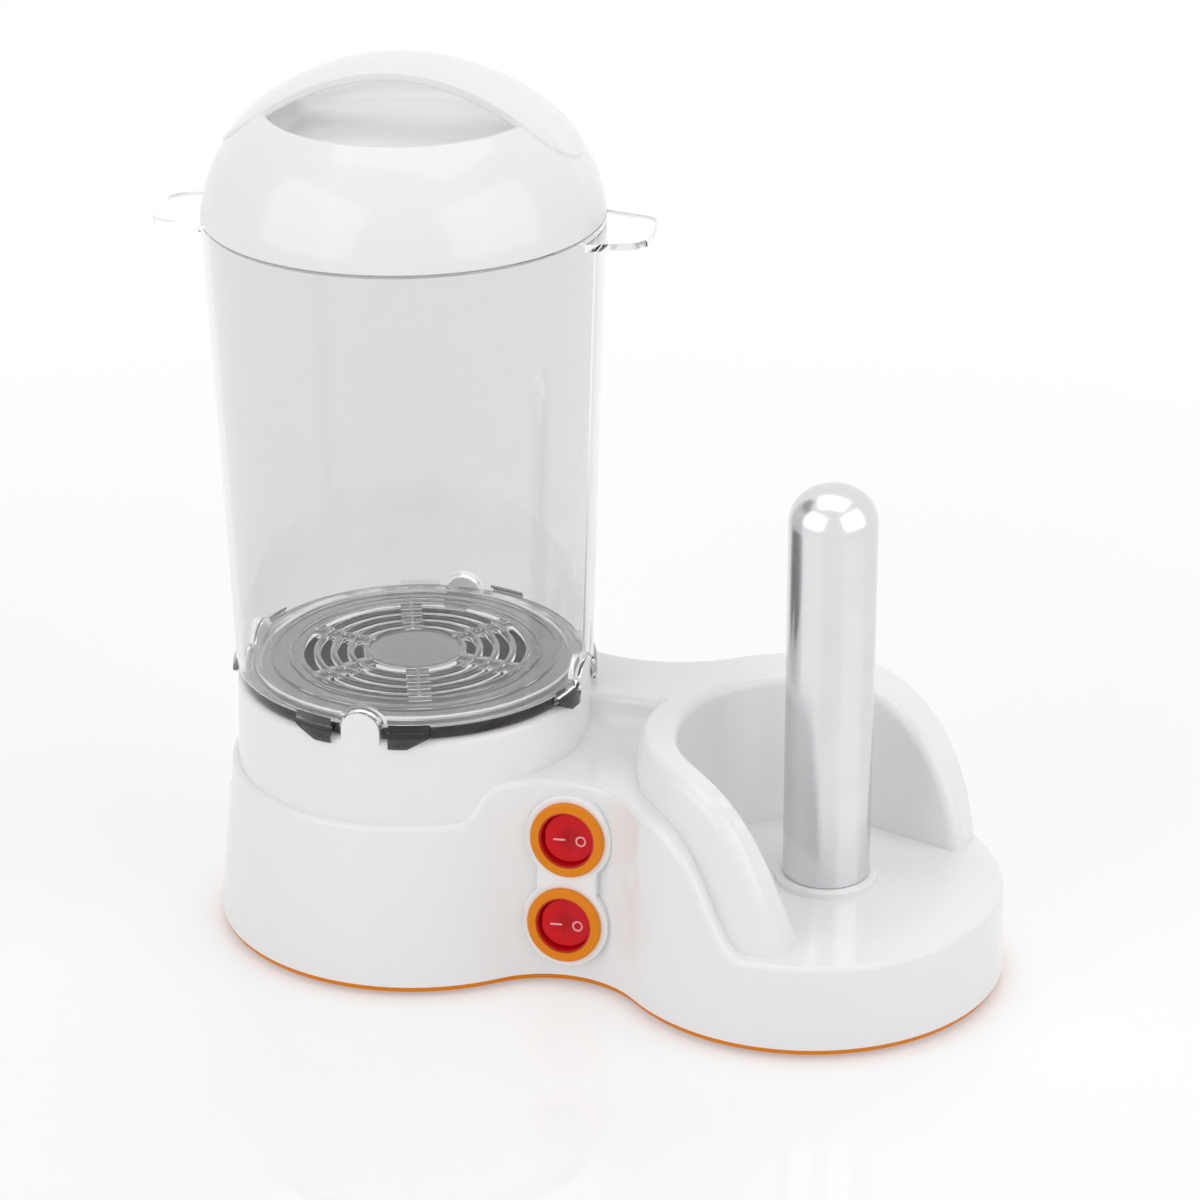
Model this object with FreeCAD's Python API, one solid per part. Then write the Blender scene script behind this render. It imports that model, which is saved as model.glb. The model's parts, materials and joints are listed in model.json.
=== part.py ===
import FreeCAD, Part
import os
from math import cos, hypot, pi, radians, sin, sqrt, tan
from FreeCAD import Placement, Rotation, Vector

# Hot dog maker: a peanut-shaped base with a steam chamber at one end and a heated bun spike
# at the other. All sizes are millimetres. X runs from the chamber to the spike, the
# switches face -Y, and the model is first laid out about the chamber's axis.

# Plan of the base: two round ends joined by concave waists.
end_pitch = 148.0
tower_radius = 73.7
tower_draft = 5.9
deck_radius = 71.4
deck_draft = 1.8
waist_front = 43.8
waist_front_tilt = 7.4
waist_rear = 43.8
waist_rear_tilt = 1.8

# Levels of the base above the table.
foot_height = 2.0
base_edge = 2.0
deck_height = 35.4
ledge_height = 64.0
shoulder_height = 76.0
neck_height = 91.5
drum_height = 96.0

# Walls and small radii of the housing.
wall = 2.4
edge_round = 2.0
drum_ledge_radius = 65.2
drum_top_radius = 64.2
drum_round = 3.0

# Bay round the bun spike, the ridge in front of it and the arm behind it.
bay_offset = 2.0
bay_setback = 27.4
bay_flare = 4.3
bay_edge_round = 4.0
ridge_wall = 17.0
ridge_draft = 5.0
ridge_round = 5.0
arm_run = 46.0
arm_bearing = -17.5

# Side profiles of the housing. Each fall is a start, two curve handles and an end along X.
step_start = 35.0
step_length = 12.5
rear_step_start = 12.0
rear_step_length = 34.0
shoulder_fall = (104.0, 130.0, 132.0, 145.0)
ridge_fall = (112.0, 140.0, 149.0, 157.5)
ridge_fall_knee = 60.0
arm_fall = (140.0, 168.0, 192.0, 197.5)
arm_fall_knee = 72.0

# Scoop between the drum and the ridge.
scoop_back = 6.8
scoop_depth = 20.0
scoop_climb = 4.0
scoop_round = 3.0

# Fits.
press_gap = 0.1
running_gap = 0.05
slide_gap = 0.5
seam_gap = 0.3

# Cutting tools run past the faces they open. Edges are picked by how near they lie.
over = 1.0
touch = 0.01
near = 0.5

# Base plate, its feet and screws.
base_lip_height = 5.0
base_lip_wall = 1.6
base_inset = 0.3
base_taper = 0.6
foot_radius = 8.0
foot_peg_radius = 3.0
foot_places = ((-42.0, 40.0), (-42.0, -40.0), (174.0, 50.0), (174.0, -50.0))
boss_radius = 4.6
boss_setback = 6.9
tower_boss_bearings = (180.0, 48.6, -48.6)
deck_boss_bearings = (0.0, 123.0, -123.0)
boss_foot = 2.2
screw_radius = 1.6
screw_head_radius = 2.8
screw_head_depth = 1.6
screw_length = 14.0
boss_top = 30.0
vent_count = 7
vent_length = 44.0
vent_width = 3.0
vent_pitch = 9.0

# Water plate on the drum: a cast dish with a steam well, held down by a ring and nuts.
plate_radius = 58.8
plate_proud = 3.5
plate_wall = 2.4
plate_height = 7.0
well_radius = 45.5
well_depth = 3.5
well_slope = 2.0
seat_drop = 5.0
seat_inner = 50.0
gasket_inner = 54.5
gasket_thickness = 1.5
stud_radius = 2.0
stud_circle = 42.0
stud_length = 11.0
clamp_inner = 37.5
clamp_outer = 54.0
clamp_thickness = 1.5
nut_flats = 7.0
nut_height = 3.2
element_circle = 23.0
element_radius = 3.5
element_gap_angle = 50.0
element_leg = 12.0
element_leg_radius = 2.5
thermostat_radius = 8.5
thermostat_height = 7.0
fuse_radius = 2.0
fuse_length = 12.0
fuse_offset = 33.0

# Chamber: a clear moulding with arched notches that drop over lugs on the drum.
chamber_foot_radius = 61.8
chamber_base_radius = 64.4
chamber_base_height = 8.0
chamber_bulge = ((0.6, 0.4), (0.2, 3.0))
chamber_top_radius = 70.0
chamber_top = 268.0
chamber_wall = 2.2
chamber_inner_foot = 59.6
rack_ledge_low = 4.3
rack_ledge_thickness = 1.4
rack_ledge_inner = 55.5
notch_count = 4
notch_angle = 3.5
lug_half_width = 7.0
lug_rise = 10.0
lug_inner = 60.8
notch_gap = 0.6
hood_wall = 1.4
hood_inner = 58.8
claw_drop = 2.2
claw_inner = 64.6
claw_outer = 65.9
claw_start = 10.4
claw_end = 17.0
claw_ramp_end = 24.5
claw_rise = 2.0
claw_shoulder = 3.6
claw_root = 1.0
ear_angle = 8.5
ear_reach = 87.0
ear_root_half = 21.5
ear_tip_half = 14.0
ear_corner = 8.0
ear_top_drop = 2.0
ear_thickness = 2.5

# Rack on the chamber's ledge.
rack_radius = 57.8
rack_thickness = 1.6
rack_rib = 0.9
rack_rib_width = 1.0
rack_hub = 17.4
rack_slot = 3.6
rack_pitch = 6.0
rack_rings = 5
rack_outer_rings = (45.0, 51.5)
rack_bars = 6
rack_bar_width = 8.0
rack_angle = -66.5

# Lid: a superellipse dome with a dished top, and a strap across the dish.
lid_radius = 70.2
dome_height = 59.9
dome_base_drop = 6.0
dome_power = 2.3
dome_root = 1.8
dome_steps = 12
lid_wall = 2.2
lid_edge = 2.0
dish_rim_height = 37.5
dish_depth = 9.0
dish_cove = 12.0
lid_rim_round = 1.0
lid_edge_chamfer = 0.5
plug_depth = 1.5
plug_wall = 1.8
plug_lean = 0.2
strap_proud = 0.8
strap_thickness = 3.4
strap_seat = 1.4
strap_mid_half = 14.0
strap_end_half = 17.5
strap_shoulder = 50.0
strap_spread = 37.0
strap_nose = 9.9
strap_reach = 62.5
strap_round = 0.8

# Bun spike.
spike_offset = 7.3
spike_radius = 15.5
spike_wall = 1.2
spike_neck_radius = 15.0
spike_height = 150.0
spike_tip = 14.0
spike_flange_radius = 21.0
spike_flange_thickness = 1.6
collar_radius = 18.2
collar_height = 2.8
collar_round = 1.2
spike_clamp_radius = 29.5
spike_clamp_thickness = 1.5
spike_screw_circle = 25.5
spike_screw_radius = 1.45
spike_screw_count = 3
heater_wall = 1.0
heater_low = 12.0
heater_tip_gap = 6.0

# Switches on the front waist. Their axis tilts up with the panel.
switch_shift = -2.1401
switch_low_z = 25.5
switch_pitch = 31.9
pad_lift = 1.07146
pad_radius = 15.9
pad_waist_half = 11.0
pad_depth = 9.0
pad_round = 0.8
bezel_radius = 13.65
bezel_hole = 10.3
bezel_thickness = 1.8
bezel_round = 0.8
switch_radius = 11.0
switch_depth = 18.0
switch_neck = 1.3
cup_radius = 9.7
cup_depth = 7.5
rocker_radius = 9.3
rocker_pivot_depth = 4.0
rocker_dip = 2.0
rocker_facet = 5.0
rocker_tilt = 7.0
rocker_floor = 5.9
rocker_round = 0.6
pin_radius = 1.0
pin_length = 0.9
blade_length = 8.0
blade_width = 6.3
blade_thickness = 0.8
blade_pitch = 5.0
lamp_radius = 1.8
lamp_length = 9.0

# Cord inlet, strain clamp and terminal block.
inlet_shift = 0.24254
inlet_z = 22.0
inlet_pad_radius = 9.0
inlet_pad_proud = 1.4
bushing_radius = 5.2
bushing_flange_radius = 7.2
bushing_flange = 2.0
bushing_bore = 3.3
bushing_tail = 4.0
cord_clamp_size = (26.0, 8.0, 3.0)
cord_clamp_y = 27.0
cord_post_radius = 3.6
cord_post_height = 7.0
cord_post_spread = 18.0
terminal_size = (32.0, 16.0, 12.0)
terminal_y = 6.0
terminal_screw_radius = 1.8
terminal_screw_pitch = 9.5

far = 400.0
housing_bottom = foot_height + base_edge
bay_radius = round(deck_radius - bay_setback, 3)
ridge_radius = bay_radius + ridge_wall
deck_axis = Vector(end_pitch, 0, 0)
bay_axis = Vector(end_pitch + bay_offset, 0, 0)
spike_axis = Vector(end_pitch + spike_offset, 0, 0)


def slope(angle):
    return tan(radians(angle))


def turn(angle, radius, z=0.0, centre=Vector(0, 0, 0)):
    """Point at a bearing and radius from a centre, at height z."""
    a = radians(angle)
    return Vector(centre.x + radius * cos(a), centre.y + radius * sin(a), z)


def cylinder(radius, low, high, centre=Vector(0, 0, 0)):
    return Part.makeCylinder(radius, high - low, Vector(centre.x, centre.y, low))


def ring(outer, inner, low, high, centre=Vector(0, 0, 0)):
    return cylinder(outer, low, high, centre).cut(cylinder(inner, low, high, centre))


def block(x, y, z, size):
    """Box centred on the point (x, y) that stands on z, from a size (x, y, z)."""
    return Part.makeBox(*size, Vector(x - size[0] / 2, y - size[1] / 2, z))


def face_of(points):
    return Part.Face(Part.makePolygon(points + [points[0]]))


def revolve(pairs, centre=Vector(0, 0, 0)):
    """Solid of revolution about a vertical axis from (radius, height) pairs."""
    face = face_of([Vector(centre.x + r, centre.y, z) for r, z in pairs])
    return face.revolve(centre, Vector(0, 0, 1), 360)


def revolve_edges(edges):
    return Part.Face(Part.Wire(edges)).revolve(Vector(0, 0, 0), Vector(0, 0, 1), 360)


def line(a, b):
    return Part.makeLine(Vector(a[0], 0, a[1]), Vector(b[0], 0, b[1]))


def curve(points):
    bezier = Part.BezierCurve()
    bezier.setPoles(points)
    return bezier.toShape()


def middle(edge):
    return edge.valueAt((edge.FirstParameter + edge.LastParameter) / 2)


def rounded(body, radius, chosen):
    """Fillet of the edges whose middle point passes a test."""
    return body.makeFillet(radius, [edge for edge in body.Edges if chosen(middle(edge), edge)])


def tower_radius_at(z):
    return tower_radius - (z - housing_bottom) * slope(tower_draft)


def deck_radius_at(z):
    return deck_radius - (z - housing_bottom) * slope(deck_draft)


def front_waist_at(z):
    return waist_front - (z - housing_bottom) * slope(waist_front_tilt)


def rear_waist_at(z):
    return waist_rear - (z - housing_bottom) * slope(waist_rear_tilt)


def waist_arc(r_tower, r_deck, reach):
    """Circle that touches both end circles from outside and comes within reach of the X axis."""
    shift = (end_pitch ** 2 + (r_tower - r_deck) * (r_tower + r_deck)) / (2 * end_pitch)
    grow = (r_tower - r_deck) / end_pitch
    a = grow ** 2
    b = 2 * shift * grow - 2 * (r_tower - reach)
    c = shift ** 2 - (r_tower ** 2 - reach ** 2)
    radius = 2 * c / (-b + sqrt(b * b - 4 * a * c))
    return shift + grow * radius, reach + radius, radius


def outline(z, inset):
    """Closed peanut outline at height z, moved inwards by inset."""
    r_t = tower_radius_at(z) - inset
    r_d = deck_radius_at(z) - inset
    marks = {}
    for side, reach in ((-1, front_waist_at(z) - inset), (1, rear_waist_at(z) - inset)):
        cx, cy, r = waist_arc(r_t, r_d, reach)
        share_t = r_t / (r_t + r)
        share_d = r_d / (r_d + r)
        start = Vector(cx * share_t, side * cy * share_t, z)
        end = Vector(end_pitch + (cx - end_pitch) * share_d, side * cy * share_d, z)
        marks[side] = (start, Vector(cx, side * reach, z), end)
    front, rear = marks[-1], marks[1]
    arcs = [
        Part.Arc(front[0], Vector(-r_t, 0, z), rear[0]),
        Part.Arc(rear[0], rear[1], rear[2]),
        Part.Arc(rear[2], Vector(end_pitch + r_d, 0, z), front[2]),
        Part.Arc(front[2], front[1], front[0]),
    ]
    return Part.Wire([arc.toShape() for arc in arcs])


def drafted(low, high, inset_low, inset_high):
    """Solid between two heights that follows the drafted outline."""
    wires = [outline(low, inset_low), outline(high, inset_high)]
    return Part.makeLoft(wires, True, True)


def side_tool(edges, y_from, y_to):
    """Solid above a side profile drawn in the XZ plane, from y_from to y_to."""
    first = edges[0].Vertexes[0].Point
    last = edges[-1].Vertexes[-1].Point
    top_last = Vector(last.x, 0, far)
    top_first = Vector(first.x, 0, far)
    closing = Part.makePolygon([last, top_last, top_first, first])
    face = Part.Face(Part.Wire(edges + closing.Edges))
    face.translate(Vector(0, y_from, 0))
    return face.extrude(Vector(0, y_to - y_from, 0))


def fall_curve(fall, high, knee, low, inset):
    x_start, handle_1, handle_2, x_end = (value - inset for value in fall)
    start, end = Vector(x_start, 0, high), Vector(x_end, 0, low)
    return start, curve([start, Vector(handle_1, 0, high), Vector(handle_2, 0, knee), end]), end


def rise_and_fall(low, high, rise_start, rise_length, fall, knee, inset):
    """Side profile: flat, S up, flat, then a curve down to the deck."""
    low_z, high_z, deck_z = low - inset, high - inset, deck_height - inset
    a = Vector(-far, 0, low_z)
    b = Vector(rise_start + inset, 0, low_z)
    c = Vector(rise_start + rise_length + inset, 0, high_z)
    mid = (b.x + c.x) / 2
    d, drop, e = fall_curve(fall, high_z, knee - inset, deck_z, inset)
    edges = [Part.makeLine(a, b), curve([b, Vector(mid, 0, low_z), Vector(mid, 0, high_z), c])]
    edges += [Part.makeLine(c, d), drop, Part.makeLine(e, Vector(far, 0, deck_z))]
    return edges


def skirt_form(inset, radius):
    """Drafted outer wall with its ledge, shoulder, deck and arm, filleted when radius is set."""
    low, high = housing_bottom - inset, neck_height - inset
    body = drafted(low, high, inset, inset)
    split = scoop_back + scoop_round + inset
    front = rise_and_fall(ledge_height, shoulder_height, step_start, step_length,
                          shoulder_fall, deck_height, inset)
    rear = rise_and_fall(ledge_height, neck_height, rear_step_start, rear_step_length,
                         arm_fall, arm_fall_knee, inset)
    body = body.cut(side_tool(front, -far, split))
    body = body.cut(side_tool(rear, split, far))
    if not radius:
        return body

    def at_rim(point, edge):
        near = outline(point.z, 0).distToShape(Part.Vertex(point))[0] < edge_round / 2
        level = min(vertex.Point.z for vertex in edge.Vertexes) > housing_bottom + wall
        return near and level
    return rounded(body, radius, at_rim)


def drum_form(inset, radius):
    low, top = housing_bottom - inset, drum_height - inset
    lean = (drum_ledge_radius - drum_top_radius) / (drum_height - ledge_height)
    r_low = drum_ledge_radius - inset + lean * (ledge_height - low)
    r_top = drum_top_radius - inset + lean * inset
    body = Part.makeCone(r_low, r_top, top - low, Vector(0, 0, low))
    if not radius:
        return body
    return rounded(body, radius, lambda p, edge: abs(p.z - top) < touch and edge.Closed)


def ridge_form(inset, radius):
    """Curved ridge that stands on the shoulder in front of the bay."""
    low, high = housing_bottom + wall, neck_height - inset
    r_high = ridge_radius - inset - (neck_height - shoulder_height) * slope(ridge_draft)
    r_low = r_high + (high - low) * slope(ridge_draft)
    cone = Part.makeCone(r_low, r_high, high - low, deck_axis + Vector(0, 0, low))
    split = scoop_back + scoop_round + inset
    front = Part.makeBox(2 * far, far, far, Vector(-far, split - far, 0))
    start, drop, end = fall_curve(ridge_fall, high, ridge_fall_knee - inset,
                                  deck_height - inset, inset)
    profile = [Part.makeLine(Vector(-far, 0, high), start), drop]
    profile.append(Part.makeLine(end, Vector(far, 0, end.z)))
    body = cone.common(front).cut(side_tool(profile, -far, far))
    if radius:
        def at_top(point, edge):
            out = hypot(point.x - end_pitch, point.y)
            wanted = r_high + (high - point.z) * slope(ridge_draft)
            ends = [vertex.Point.z for vertex in edge.Vertexes]
            free = point.x < ridge_fall[3] and min(ends) > housing_bottom + deck_height / 2
            return abs(out - wanted) < near and free and point.y < 0
        body = rounded(body, radius, at_top)
    return body.common(drafted(low, high, inset, inset))


def scoop_form(inset):
    """Cove that climbs from the shoulder to the neck between drum and ridge."""
    back, foot = scoop_back + inset, scoop_back + inset - scoop_depth
    low, high = shoulder_height - inset, neck_height - inset
    start, lip = Vector(0, foot, low), Vector(0, back, high - scoop_round)
    end = Vector(0, back + scoop_round, high)
    handles = [Vector(0, back - scoop_depth / 4, low), Vector(0, back, low + scoop_climb)]
    cove = curve([start] + handles + [lip])
    bend = scoop_round * (1 - cos(pi / 4))
    roll = Part.Arc(lip, Vector(0, back + bend, high - bend), end).toShape()
    base = Part.makePolygon([end, Vector(0, end.y + wall, high), Vector(0, end.y + wall, low - wall),
                             Vector(0, foot, low - wall), start])
    face = Part.Face(Part.Wire([cove, roll] + base.Edges))
    return face.extrude(Vector(end_pitch - ridge_radius + 2 * wall, 0, 0))


def bay_tool(inset):
    """Flared round bay, open to the front right, with a straight run along the arm."""
    low, high = deck_height - inset, drum_height + drum_height
    lean = bay_flare / (neck_height - deck_height)
    r_low = bay_radius + inset
    r_high = r_low + lean * (high - low)
    cone = Part.makeCone(r_low, r_high, high - low, bay_axis + Vector(0, 0, low))
    wires = []
    for z, radius in ((low, r_low), (high, r_high)):
        centre = Vector(bay_axis.x, 0, z)
        start = turn(90 + arm_bearing, radius, z, bay_axis)
        end = turn(arm_bearing, arm_run, z, start)
        wires.append(Part.makePolygon([centre, start, end, Vector(end.x, 0, z), centre]))
    return cone.fuse(Part.makeLoft(wires, True, True))


def housing_form(inset, finished):
    """Whole housing as one solid, moved inwards by inset. Only the outside is filleted."""
    radii = (edge_round, drum_round, ridge_round) if finished else (0, 0, 0)
    body = skirt_form(inset, radii[0]).fuse([drum_form(inset, radii[1]),
                                             ridge_form(inset, radii[2]), scoop_form(inset)])
    body = body.cut(bay_tool(inset))
    if not finished:
        return body
    lean = bay_flare / (neck_height - deck_height)

    def at_bay(point, edge):
        out = hypot(point.x - bay_axis.x, point.y)
        wanted = bay_radius + lean * (point.z - deck_height)
        run = point - turn(90 + arm_bearing, wanted, point.z, bay_axis)
        along, aside = run.dot(turn(arm_bearing, 1)), run.dot(turn(90 + arm_bearing, 1))
        on_wall = abs(out - wanted) < near or (abs(aside) < near and along > 0)
        ends = [vertex.Point for vertex in edge.Vertexes]
        sweep = hypot(ends[0].x - ends[-1].x, ends[0].y - ends[-1].y)
        return on_wall and point.z > deck_height + near and sweep > bay_edge_round
    return rounded(body, bay_edge_round, at_bay)


def arch(half, apex, low, r_in, r_out, bearing):
    """Round-topped block that points outwards from the tower axis between two radii."""
    centre = apex - half
    body = Part.makeBox(r_out - r_in, 2 * half, centre - low, Vector(r_in, -half, low))
    body = body.fuse(Part.makeCylinder(half, r_out - r_in, Vector(r_in, 0, centre), Vector(1, 0, 0)))
    body.rotate(Vector(0, 0, 0), Vector(0, 0, 1), bearing)
    return body


def notch_bearings():
    return [notch_angle + 360.0 * k / notch_count for k in range(notch_count)]


def radial_bars(count, inner, outer, width, low, high, first):
    bars = []
    for k in range(count):
        bar = Part.makeBox(outer - inner, width, high - low, Vector(inner, -width / 2, low))
        bar.rotate(Vector(0, 0, 0), Vector(0, 0, 1), first + 360.0 * k / count)
        bars.append(bar)
    return bars


def hexagon(flats, low, high, place):
    corner = flats / sqrt(3)
    points = [turn(60.0 * k, corner, low, place) for k in range(6)]
    return face_of(points).extrude(Vector(0, 0, high - low))


def screw(radius, head_radius, head_depth, low, length, place):
    head = cylinder(head_radius, low, low + head_depth, place)
    return head.fuse(cylinder(radius, low + head_depth, low + head_depth + length, place))


def front_waist(z):
    """Middle along X, distance from the X axis and radius of the front waist's arc."""
    return waist_arc(tower_radius_at(z), deck_radius_at(z), front_waist_at(z))


def rear_waist(z):
    return waist_arc(tower_radius_at(z), deck_radius_at(z), rear_waist_at(z))


# The panel frame: local x along X, y up the panel, z out of it. The pad clears the waist's wall,
# which curves outwards on both sides of its middle, by its lift.
waist_middle, _, waist_curve = front_waist(switch_low_z)
switch_x = waist_middle + switch_shift
pad_proud = pad_lift + waist_curve - sqrt(waist_curve ** 2 - pad_radius ** 2)
panel_turn = Rotation(Vector(1, 0, 0), 90 - waist_front_tilt)
panel_up = panel_turn.multVec(Vector(0, 1, 0))
switch_low = Vector(switch_x, -front_waist_at(switch_low_z) - pad_proud, switch_low_z)
switches = {"lower": switch_low, "upper": switch_low + panel_up * switch_pitch}


def on_panel(body, name):
    body.Placement = Placement(switches[name], panel_turn) * body.Placement
    return body


def panel_pad():
    """Raised plate behind both switches, two circles joined by a waist."""
    pad = Part.makeCylinder(pad_radius, pad_depth, Vector(0, 0, -pad_depth))
    pad = pad.fuse(Part.makeCylinder(pad_radius, pad_depth, Vector(0, switch_pitch, -pad_depth)))
    neck = Part.makeBox(2 * pad_waist_half, switch_pitch, pad_depth,
                        Vector(-pad_waist_half, 0, -pad_depth))
    pad = pad.fuse(neck).removeSplitter()
    pad = rounded(pad, pad_round, lambda p, edge: abs(p.z) < touch)
    pad.Placement = Placement(switch_low, panel_turn)
    return pad


# Inlet frame: local z points out of the rear waist.
inlet_x = rear_waist(inlet_z)[0] + inlet_shift
inlet_turn = Rotation(Vector(1, 0, 0), -90 + waist_rear_tilt)
inlet_out = inlet_turn.multVec(Vector(0, 0, 1))
inlet_face = Vector(inlet_x, rear_waist_at(inlet_z), inlet_z) + inlet_out * inlet_pad_proud


def on_inlet(body):
    body.Placement = Placement(inlet_face, inlet_turn) * body.Placement
    return body


# Heights and places shared by the pieces on the drum.
drum_roof = drum_height - wall
seat_top = drum_height - seat_drop
plate_top = drum_height + plate_proud
plate_foot = plate_top - plate_height
well_floor = plate_top - well_depth
well_under = well_floor - plate_wall
clamp_top = seat_top - wall
stud_places = [turn(120.0 * k + 30.0, stud_circle) for k in range(3)]
boss_bottom = housing_bottom + boss_foot
boss_spots = [turn(angle, tower_radius - boss_setback) for angle in tower_boss_bearings]
boss_spots += [turn(angle, deck_radius - boss_setback, 0, deck_axis) for angle in deck_boss_bearings]
post_spots = [Vector(inlet_x + side * cord_post_spread / 2, cord_clamp_y, 0) for side in (-1, 1)]
spike_screw_spots = [turn(120.0 * k + 90.0, spike_screw_circle, 0, spike_axis)
                     for k in range(spike_screw_count)]
deck_under = deck_height - wall


def main_housing():
    outside = housing_form(0, True).fuse([panel_pad(), on_inlet(
        Part.makeCylinder(inlet_pad_radius, wall + inlet_pad_proud,
                          Vector(0, 0, -wall - inlet_pad_proud)))])
    lugs = []
    for bearing in notch_bearings():
        lug = arch(lug_half_width, drum_height + lug_rise, drum_roof, 0, far / 4, bearing)
        lugs.append(lug.common(ring(drum_top_radius, lug_inner, drum_roof, drum_height + lug_rise)))
    shell = outside.cut(housing_form(wall, False)).fuse(lugs)
    shell = shell.cut(cylinder(plate_radius + slide_gap, clamp_top, plate_top))
    seat = ring(drum_top_radius - wall / 2, seat_inner, clamp_top, seat_top)
    inner_hull = housing_form(wall / 2, False)
    bosses = []
    for spot in boss_spots:
        boss = cylinder(boss_radius, boss_bottom, boss_top, spot).common(inner_hull)
        bosses.append(boss)
    for spot in spike_screw_spots:
        bosses.append(cylinder(spike_screw_radius + wall, deck_under - spike_flange_thickness,
                               deck_height - wall / 2, spot))
    shell = shell.fuse([seat] + bosses)
    holes = []
    for spot in boss_spots:
        top = foot_height + screw_head_depth + screw_length + screw_radius
        holes.append(cylinder(screw_radius, boss_bottom, top, spot))
    for spot in spike_screw_spots:
        low = deck_under - spike_flange_thickness
        holes.append(cylinder(spike_screw_radius, low, deck_height - wall / 2, spot))
    holes.append(cylinder(spike_neck_radius + press_gap, deck_under - over, deck_height + over,
                          spike_axis))
    for name in switches:
        hole = Part.makeCylinder(switch_radius + press_gap, 2 * switch_depth,
                                 Vector(0, 0, over - 2 * switch_depth))
        holes.append(on_panel(hole, name))
    bore = Part.makeCylinder(bushing_radius + press_gap, 4 * wall, Vector(0, 0, -3 * wall))
    holes.append(on_inlet(bore))
    return shell.cut(holes)


def base_plate():
    low, top = foot_height, housing_bottom
    plate = drafted(low, top, base_inset + base_taper, base_inset)
    lip_out = wall + seam_gap
    lip_in = lip_out + base_lip_wall
    lip_high = top + base_lip_height
    hull = drafted(top, lip_high, lip_out, lip_out)
    lip = hull.cut(drafted(top, lip_high, lip_in, lip_in))
    for spot in boss_spots:
        lip = lip.cut(cylinder(boss_radius + slide_gap, top, lip_high, spot))
    bosses = [cylinder(boss_radius, top, boss_bottom, spot).common(hull) for spot in boss_spots]
    posts = [cylinder(cord_post_radius, top, top + cord_post_height, spot) for spot in post_spots]
    plate = plate.fuse([lip] + bosses + posts)
    for spot in boss_spots:
        plate = plate.cut([cylinder(screw_head_radius + press_gap, low - over,
                                    low + screw_head_depth, spot),
                           cylinder(screw_radius + press_gap, low, boss_bottom + over, spot)])
    for x, y in foot_places:
        plate = plate.cut(cylinder(foot_peg_radius, low - over, top + over, Vector(x, y, 0)))
    for k in range(vent_count):
        x = (k - (vent_count - 1) / 2) * vent_pitch
        length = vent_length - abs(x) * vent_width / vent_pitch
        plate = plate.cut(block(x, 0, low - over, (vent_width, length, base_edge + 2 * over)))
    for spot in post_spots:
        plate = plate.cut(cylinder(screw_radius, top, top + cord_post_height + over, spot))
    return plate


def feet():
    pads = []
    for x, y in foot_places:
        spot = Vector(x, y, 0)
        pad = Part.makeCone(foot_radius - base_edge / 2, foot_radius, foot_height, spot)
        pads.append(pad.fuse(cylinder(foot_peg_radius, foot_height, housing_bottom, spot)))
    return Part.makeCompound(pads)


def base_screws():
    return Part.makeCompound([screw(screw_radius, screw_head_radius, screw_head_depth,
                                    foot_height, screw_length, spot) for spot in boss_spots])


def heating_plate():
    rim = well_radius + well_slope
    section = [(0, well_under), (well_radius - well_slope, well_under),
               (rim, plate_top - plate_wall), (plate_radius - plate_wall, plate_top - plate_wall),
               (plate_radius - plate_wall, plate_foot), (plate_radius, plate_foot),
               (plate_radius, plate_top), (well_radius, plate_top),
               (well_radius - well_slope, well_floor), (0, well_floor)]
    plate = revolve(section)
    studs = [cylinder(stud_radius, well_under - stud_length, well_under + over, spot)
             for spot in stud_places]
    return plate.fuse(studs)


def plate_gasket():
    return ring(plate_radius, gasket_inner, seat_top, seat_top + gasket_thickness)


def plate_clamp():
    body = ring(clamp_outer, clamp_inner, clamp_top - clamp_thickness, clamp_top)
    holes = [cylinder(stud_radius + slide_gap / 2, clamp_top - wall, clamp_top, spot)
             for spot in stud_places]
    return body.cut(holes)


def plate_nuts():
    low = clamp_top - clamp_thickness - nut_height
    nuts = []
    for spot in stud_places:
        nut = hexagon(nut_flats, low, low + nut_height, spot)
        nuts.append(nut.cut(cylinder(stud_radius, low, low + nut_height, spot)))
    return Part.makeCompound(nuts)


def heater_element():
    """Sheathed element bent to an open ring under the plate, with two legs down."""
    z = well_under - element_radius
    start = element_gap_angle / 2
    profile = Part.Face(Part.Wire(Part.makeCircle(element_radius, Vector(element_circle, 0, z),
                                                  Vector(0, 1, 0))))
    body = profile.revolve(Vector(0, 0, 0), Vector(0, 0, 1), 360 - element_gap_angle)
    body.rotate(Vector(0, 0, 0), Vector(0, 0, 1), start)
    legs = []
    for bearing in (start, -start):
        spot = turn(bearing, element_circle)
        legs.append(cylinder(element_leg_radius, z - element_leg, z, spot))
    return body.fuse(legs)


def plate_thermostat():
    body = cylinder(thermostat_radius, well_under - thermostat_height, well_under)
    low = well_under - thermostat_height
    tabs = [block(side * thermostat_radius / 2, 0, low - blade_length,
                  (blade_thickness, blade_width, blade_length)) for side in (-1, 1)]
    return body.fuse(tabs)


def thermal_fuse():
    z = well_under - fuse_radius
    return Part.makeCylinder(fuse_radius, fuse_length, Vector(-fuse_length / 2, -fuse_offset, z),
                             Vector(1, 0, 0))


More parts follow.
